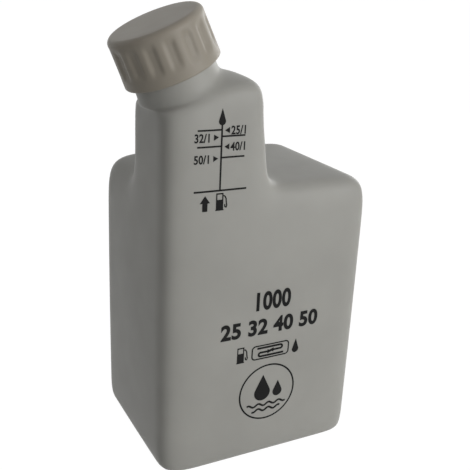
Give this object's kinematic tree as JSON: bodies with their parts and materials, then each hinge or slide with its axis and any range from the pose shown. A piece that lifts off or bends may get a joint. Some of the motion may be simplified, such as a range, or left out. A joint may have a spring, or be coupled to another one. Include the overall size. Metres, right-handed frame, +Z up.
{
  "type": "fuel mixing bottle",
  "caption": "Square blow-moulded mixing bottle with a flush measuring tower, a tilted threaded neck and a ribbed screw cap.",
  "frame": {"origin": "on the standing plane, under the middle of the whole object's box, cap included", "axes": "+Z up, -Y out of the printed front face, +X towards the low shoulder, so the neck leans towards -X"},
  "size_m": [0.1174, 0.084, 0.2102],
  "materials": {
    "natural_plastic": "satin, slightly cloudy, natural uncoloured polyethylene",
    "cap_plastic": "satin, warm off-white moulded polyethylene",
    "seal_foam": "matte closed-cell sealing foam",
    "print_ink": "black screen-printed ink"
  },
  "bodies": {
    "bottle": {"bottle": "natural_plastic"},
    "seal": {"cap_liner": "seal_foam"},
    "cap": {"cap": "cap_plastic"}
  },
  "joints": [
    {"name": "cap_lift", "type": "slide", "parent": "bottle", "child": "seal", "axis": [-0.4147, 0, 0.91], "range_m": [0, 0.028]},
    {"name": "cap_turn", "type": "hinge", "parent": "seal", "child": "cap", "pos_m": [-0.03244, -0.01905, 0.1835], "axis": [-0.4147, 0, 0.91], "range_deg": [0, 2520]}
  ],
  "couplings": [
    {"joint": "cap_lift", "follows": "cap_turn", "m_per_rad": 0.00063662}
  ]
}
